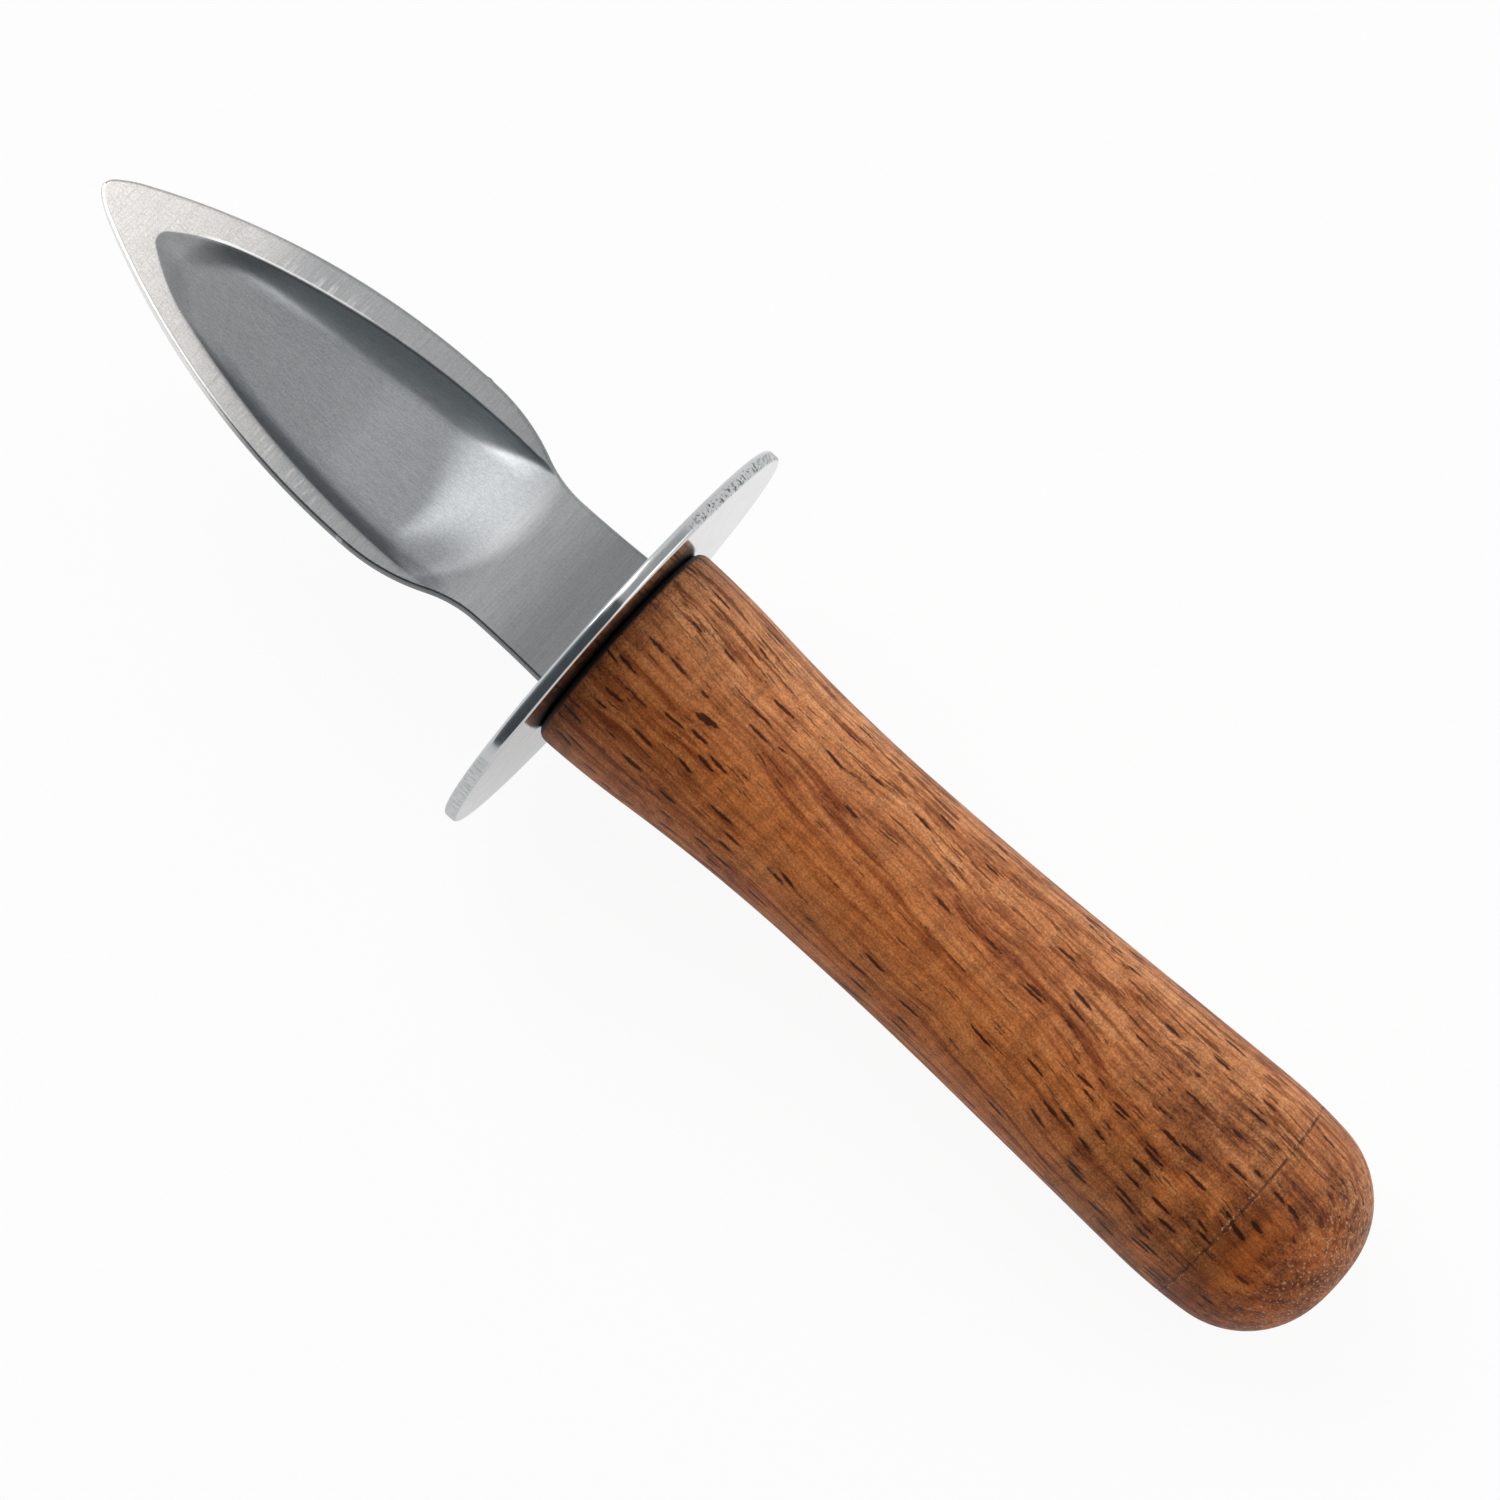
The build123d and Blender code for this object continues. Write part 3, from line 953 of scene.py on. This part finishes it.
# %% Pores
WAIST_X = -42.0
pore_share = put(tree, "SeparateXYZ", {"Vector": patterns["pore"].outputs["Color"]})
from_waist = put(tree, "Math", {0: place["X"]}, {1: WAIST_X}, operation="SUBTRACT")
from_waist = put(tree, "Math", {0: from_waist}, operation="ABSOLUTE")
lower_side = put(tree, "MapRange", {0: place["Y"]}, span=(-6.0, 0.0, 0.45, 1.0))
porous = put(tree, "MapRange", {0: from_waist, 4: lower_side}, span=(10.0, 28.0, 0.35))
crowded = put(tree, "MapRange", {0: patterns["crowd"], 4: porous}, span=(0.22, 0.46))
chance = put(tree, "Math", {0: pore_share, 1: crowded}, operation="SUBTRACT")
kept = put(tree, "MapRange", {0: chance}, span=(0.06, -0.04))
pore = put(tree, "MapRange", {0: patterns["pore"], 4: kept}, span=(0.28, 0.2))
hair_share = put(tree, "SeparateXYZ", {"Vector": patterns["hair_pore"].outputs["Color"]})
hair_kept = put(tree, "MapRange", {0: hair_share}, span=(0.62, 0.5, 0.0, 0.7))
hair_pore = put(tree, "MapRange", {0: patterns["hair_pore"], 4: hair_kept}, span=(0.30, 0.16))
upper_side = put(tree, "MapRange", {0: place["Y"]}, span=(5.0, -7.0, 0.25, 1.0))
line = put(tree, "MapRange", {0: patterns["line"], 4: upper_side}, span=(0.54, 0.68))
stain = put(tree, "MapRange", {0: patterns["pore"], 4: kept}, span=(0.5, 0.24))
stain = put(tree, "MapRange", {0: stain}, span=(0.0, 1.0, 0.0, 0.45))
end_grain = put(tree, "MapRange", {0: place["X"]}, span=(-94.0, -87.0, 0.2, 1.0))
any_pore = put(tree, "Math", {0: pore, 1: hair_pore}, operation="MAXIMUM")
any_pore = put(tree, "Math", {0: any_pore, 1: end_grain}, operation="MULTIPLY")
colour = put(tree, "Mix", {0: stain, 6: timber.outputs[2]}, {7: tone("#86451f")}, data_type="RGBA")
colour = put(tree, "Mix", {0: line, 6: colour.outputs[2]}, {7: tone("#7c421f")}, data_type="RGBA")
colour = put(tree, "Mix", {0: any_pore, 6: colour.outputs[2]}, {7: tone("#4d2109")}, data_type="RGBA")
print("nodes up to the pores:", len(tree.nodes))

# %% Fine fuzz, ripple painted as a sheen, stains, a tint at the butt, and painted shade near the disc
# The fuzz of cut fibres is finer than 0.1 mm. It is drawn 0.25 mm wide, so that it shows.
fuzz = put(tree, "TexNoise", {"Vector": mm}, {"Scale": 4.0, "Detail": 3.0, "Roughness": 0.7})
# Painted sheen: the ripple across the fibre makes bands of lighter and darker colour.
light = put(tree, "Math", {0: patterns["ripple_painted_sheen"], 2: fuzz}, {1: 0.35}, operation="MULTIPLY_ADD")
light = put(tree, "MapRange", {0: light}, span=(0.4, 0.95, 0.62, 1.44))
near_line = put(tree, "MapRange", {0: place["X"]}, span=(SCRIBE_X - 6.0, SCRIBE_X - 0.5))
for source, start, end in [
    (place["X"], SCRIBE_X + 3.0, SCRIBE_X + 0.2),
    (place["Y"], -4.0, 3.0),
    (fuzz, 0.25, 0.5),
]:
    near_line = put(tree, "MapRange", {0: source, 4: near_line}, span=(start, end))
mottle = put(tree, "TexNoise", {"Vector": mm}, {"Scale": 0.28, "Detail": 3.0})
butt = put(tree, "MapRange", {0: mottle}, span=(0.35, 0.6, 0.2, 0.8))
butt = put(tree, "MapRange", {0: place["X"], 4: butt}, span=(-60.0, -78.0))
butt = put(tree, "MapRange", {0: place["Y"], 4: butt}, span=(-9.0, -3.0))
# Painted shade: the wood darkens over its last few mm towards the disc.
front_end = put(tree, "MapRange", {0: place["X"]}, span=(-6.0, -1.2, 0.0, 0.9))
# Behind the scribed line the +Y half is tinted darker and warmer, fading out at the very end.
butt_tint = put(tree, "MapRange", {0: place["Y"]}, span=(-6.0, 0.0))
butt_tint = put(tree, "MapRange", {0: place["X"], 4: butt_tint}, span=(SCRIBE_X + 2.0, SCRIBE_X - 3.0))
butt_tint = put(tree, "MapRange", {0: place["X"], 4: butt_tint}, span=(-101.0, -91.0))
colour = put(
    tree,
    "Mix",
    {0: butt_tint, 6: colour.outputs[2]},
    {7: tone("#f2e0c4")},
    data_type="RGBA",
    blend_type="MULTIPLY",
)
# Stains at the scribed line and at the butt, and the painted shade near the disc, darken the wood
# together.
stains_and_painted_shade = put(tree, "Math", {0: near_line, 1: butt}, operation="MAXIMUM")
stains_and_painted_shade = put(tree, "Math", {0: stains_and_painted_shade, 1: front_end}, operation="MAXIMUM")
light = put(tree, "Math", {0: stains_and_painted_shade, 2: light}, {1: -0.5}, operation="MULTIPLY_ADD")
colour = put(tree, "VectorMath", {0: colour.outputs[2], "Scale": light}, operation="SCALE")
print("nodes up to the soiling:", len(tree.nodes))

# %% Specks at the butt, the scribed line and the painted shadow at the front edge
speck_cells = put(tree, "TexVoronoi", {"Vector": ragged}, {"Scale": 2.6})
speck_share = put(tree, "SeparateXYZ", {"Vector": speck_cells.outputs["Color"]})
at_end = put(tree, "MapRange", {0: place["X"]}, span=(SCRIBE_X - 4.0, SCRIBE_X - 9.0))
in_line = put(tree, "MapRange", {0: place["X"]}, span=(SCRIBE_X + 0.5, SCRIBE_X + 0.3))
in_line = put(tree, "MapRange", {0: place["X"], 4: in_line}, span=(SCRIBE_X - 0.4, SCRIBE_X - 0.2))
speck = put(tree, "Math", {0: at_end, 1: in_line}, operation="MAXIMUM")
speck = put(tree, "MapRange", {0: speck_share, 4: speck}, span=(0.6, 0.54))
speck = put(tree, "MapRange", {0: speck_cells, 4: speck}, span=(0.4, 0.22))
speck = put(tree, "MapRange", {0: speck}, span=(0.0, 1.0, 0.0, 0.55))
colour = put(tree, "Mix", {0: speck, 6: colour}, {7: tone("#d9b494")}, data_type="RGBA")
groove_noise = put(tree, "TexNoise", {"Vector": mm}, {"Scale": 0.9, "Detail": 3.0})
groove = put(tree, "MapRange", {0: groove_noise}, span=(0.38, 0.58, 0.0, 0.7))
groove = put(tree, "MapRange", {0: place["X"], 4: groove}, span=(SCRIBE_X + 0.2, SCRIBE_X + 0.08))
groove = put(tree, "MapRange", {0: place["X"], 4: groove}, span=(SCRIBE_X - 0.24, SCRIBE_X - 0.1))
colour = put(tree, "Mix", {0: groove, 6: colour.outputs[2]}, {7: tone("#4a2512")}, data_type="RGBA")
# Painted shadow: the front edge of the handle turns nearly black where it meets the disc.
front_edge_painted_shadow = put(tree, "Math", {0: fuzz, 2: place["X"]}, {1: 0.6}, operation="MULTIPLY_ADD")
front_edge_painted_shadow = put(tree, "MapRange", {0: front_edge_painted_shadow}, span=(-1.35, -0.95))
colour = put(
    tree, "Mix", {0: front_edge_painted_shadow, 6: colour.outputs[2]}, {7: tone("#100905")}, data_type="RGBA"
)
print("nodes up to the dark front edge:", len(tree.nodes))

# %% The oiled skin
fibre_height = put(
    tree, "Math", {0: patterns["streak"], 2: any_pore}, {1: -0.25}, operation="MULTIPLY_ADD"
)
relief = put(
    tree, "Bump", {"Height": fibre_height}, {"Strength": 0.45, "Distance": 0.00012}, invert=True
)
sheen = put(tree, "MapRange", {0: patterns["streak"]}, span=(0.3, 0.7, 0.46, 0.58))
skin = put(
    tree,
    "BsdfPrincipled",
    {"Base Color": colour.outputs[2], "Normal": relief, "Roughness": sheen},
    {"Specular IOR Level": 0.2},
)
put(tree, "OutputMaterial", {"Surface": skin})
handle.data.materials.append(wood)
print("nodes in the handle's wood:", len(tree.nodes))

# %% [markdown]
# ## Set resin
# The tang is held in the handle by epoxy that was poured in and set. It is clear amber with a slight
# cloud, smooth where it touched the bore, and it stays out of sight.

# %% Cast epoxy
resin, tree, mm, _ = new_material("epoxy_cast")
cloud = put(tree, "TexNoise", {"Vector": mm}, {"Scale": 0.3, "Detail": 2.0})
shade = put(tree, "ValToRGB", {0: cloud}, stops=[(0.35, tone("#8a6a3c")), (0.65, tone("#a88350"))])
filler = put(tree, "BsdfPrincipled", {"Base Color": shade}, {"Roughness": 0.2, "IOR": 1.55})
put(tree, "OutputMaterial", {"Surface": filler})
for part_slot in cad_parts["tang_resin"].material_slots:
    part_slot.material = resin
print("resin on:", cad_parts["tang_resin"].name)

# %% [markdown]
# ## Floor, tent and cards
# A shiny knife shows its surroundings more than it shows lamps. So the scene is a white tent with three
# bent cards over the knife, which give the steel its dark bands, and four soft boxes.

# %% Tilt the floor until the knife rests on its disc and its butt
def lowest(piece, tilt):
    """How low a piece reaches, measured square to a floor with this tilt."""
    floor_up = Vector((math.sin(tilt), 0, math.cos(tilt)))
    return min(floor_up.dot(vert.co) for vert in piece.data.vertices)


# The tilt grows while the butt is in the air and shrinks while it is in the floor, in halving steps.
FIRST_TILT = 9.0
FIRST_CHANGE = 2.0
TILT_ROUNDS = 12
floor_tilt = math.radians(FIRST_TILT)
change = math.radians(FIRST_CHANGE)
for _ in range(TILT_ROUNDS):
    floor_tilt += change if lowest(handle, floor_tilt) > lowest(guard, floor_tilt) else -change
    change /= 2
print("floor tilt, degrees:", round(math.degrees(floor_tilt), 2))

# %% Pale floor
# Part of the paper's white is its own light, so that the floor is pale where it is seen or mirrored.
SEEN_SHARE = 0.93
MIRRORED_SHARE = 0.5
FLOOR_HALF = 1.6

pale, tree = bare_material("backdrop_paper")
path = put(tree, "LightPath").outputs
glossy, through = path["Is Glossy Ray"], path["Is Transmission Ray"]
mirrored = put(tree, "Math", {0: glossy, 1: through}, operation="MAXIMUM")
mirrored = put(tree, "Math", {0: mirrored}, {1: MIRRORED_SHARE}, operation="MULTIPLY")
share = put(tree, "Math", {0: path["Is Camera Ray"]}, {1: SEEN_SHARE}, operation="MULTIPLY")
share = put(tree, "Math", {0: share, 1: mirrored}, operation="MAXIMUM")
paper = put(tree, "BsdfDiffuse", values={"Color": tone("#f0f0f0")})
white = put(tree, "Emission", values={"Color": (1, 1, 1, 1), "Strength": 1.0})
paper = put(tree, "MixShader", {0: share, 1: paper, 2: white})
put(tree, "OutputMaterial", {"Surface": paper})

ground = bmesh.new()
bmesh.ops.create_grid(ground, x_segments=8, y_segments=8, size=FLOOR_HALF)
bmesh.ops.translate(ground, verts=ground.verts, vec=(0, 0, lowest(guard, floor_tilt)))
tilted = Matrix.Rotation(floor_tilt, 3, "Y")
bmesh.ops.rotate(ground, verts=ground.verts, cent=(0, 0, 0), matrix=tilted)
floor_sheet = object_from(ground, "floor")
floor_sheet.data.materials.append(pale)

# %% Tent and cards
TENT_STRENGTH = 0.8
CARD_RADIUS = 0.62
CARD_STEPS = 24

world = bpy.data.worlds.new("tent")
scene.world = world
world.use_nodes = True
tent = world.node_tree.nodes["Background"].inputs
tent["Color"].default_value = (1, 1, 1, 1)
tent["Strength"].default_value = TENT_STRENGTH


def bent_card(name, colour, near_end, far_end, start, turn):
    """A card bent round the knife's line, from one angle off the zenith to another, in degrees."""
    finish, tree = bare_material(name)
    paint = put(tree, "BsdfDiffuse", values={"Color": tone(colour)})
    put(tree, "OutputMaterial", {"Surface": paint})
    card = bmesh.new()
    ends = [card.verts.new((x, 0, CARD_RADIUS)) for x in (near_end, far_end)]
    first = Matrix.Rotation(math.radians(-start), 3, "X")
    bmesh.ops.rotate(card, verts=ends, cent=(0, 0, 0), matrix=first)
    edge = card.edges.new(ends)
    bmesh.ops.spin(
        card,
        geom=ends + [edge],
        cent=(0, 0, 0),
        axis=(1, 0, 0),
        angle=math.radians(-turn),
        steps=CARD_STEPS,
    )
    sheet = object_from(card, name)
    sheet.data.materials.append(finish)
    sheet.visible_camera = False


bent_card("dark_card", "#5a6064", -0.6, 0.11, 0.0, 93.0)
bent_card("dark_card_at_tip", "#8e9498", 0.11, 0.45, 8.0, 85.0)
bent_card("grey_card", "#cfd0d0", -0.12, 0.10, -50.0, 50.0)


# %% Soft boxes
def soft_box(name, place, width, height, radiance):
    """An area lamp that faces the knife. Its power follows from how bright its face should look."""
    lamp = bpy.data.lights.new(name, "AREA")
    lamp.shape = "RECTANGLE"
    lamp.size = width
    lamp.size_y = height
    lamp.energy = radiance * math.pi * width * height
    box = bpy.data.objects.new(name, lamp)
    place = Vector(place)
    turn = (-place).to_track_quat("-Z", "Y")
    box.matrix_world = Matrix.LocRotScale(place, turn, None)
    box.visible_camera = False
    scene.collection.objects.link(box)
    print(name, "power", round(lamp.energy, 2), "W")


soft_box("tip_side_box", (0.25, -0.14, 0.64), 0.18, 0.36, 1.2)
soft_box("heel_box", (0.53, -0.05, 0.56), 0.46, 0.34, 2.9)
soft_box("butt_side_box", (-0.62, -0.15, 0.5), 0.4, 0.5, 0.75)
soft_box("handle_box", (-0.22, -0.34, 0.54), 0.4, 0.4, 0.9)

# %% Finish
scene.view_settings.view_transform = "Standard"
bpy.context.view_layer.update()
